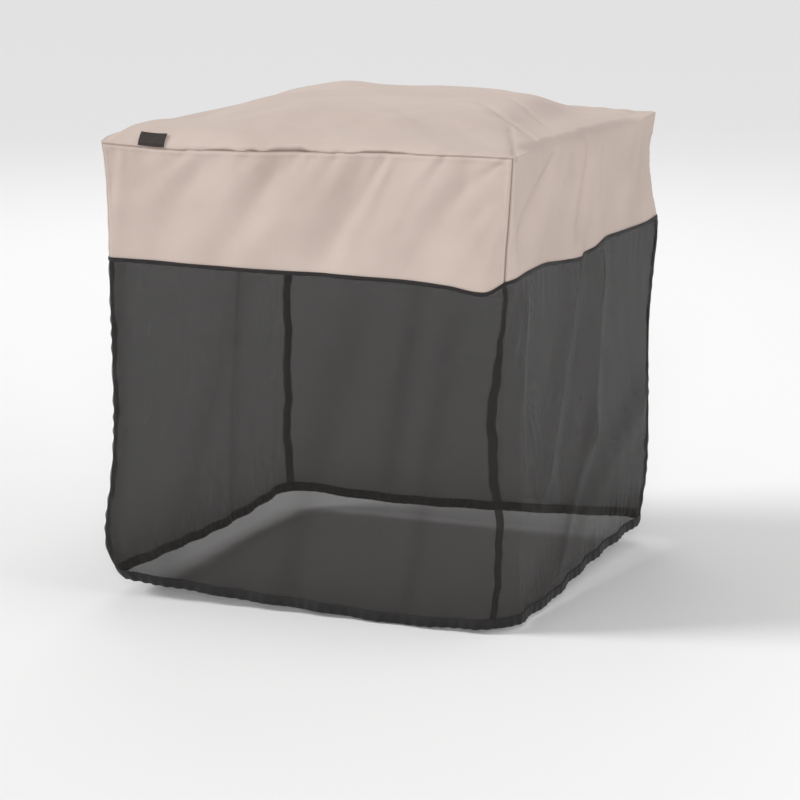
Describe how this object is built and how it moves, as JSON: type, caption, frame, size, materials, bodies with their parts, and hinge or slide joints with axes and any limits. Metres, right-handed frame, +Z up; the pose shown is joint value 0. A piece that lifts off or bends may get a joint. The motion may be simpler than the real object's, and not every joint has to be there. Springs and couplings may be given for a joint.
{
  "type": "air conditioner cover",
  "caption": "Fitted square cover for an outdoor cooling unit: a tan cloth cap over a see-through black mesh skirt drawn in by an elastic hem.",
  "frame": {"origin": "under the middle of the crown, where the cover rests on the unit that it covers", "axes": "+X along the front face to its right, +Y to the back, +Z up"},
  "size_m": [0.8949, 0.8943, 1.001],
  "materials": {
    "cap_cloth": "matt woven polyester, tan, faint sheen",
    "mesh_net": "black open knitted net, see-through",
    "binding_tape": "black woven tape, matt",
    "label_cloth": "dark brown woven label, satin"
  },
  "bodies": {
    "root": {"cap_centre": "cap_cloth", "cap_front": "cap_cloth", "cap_back": "cap_cloth", "mesh_front": "mesh_net", "mesh_right": "mesh_net", "mesh_back": "mesh_net", "mesh_left": "mesh_net", "binding_front": "binding_tape", "binding_right": "binding_tape", "binding_back": "binding_tape", "binding_left": "binding_tape", "label_patch": "label_cloth"}
  },
  "joints": []
}
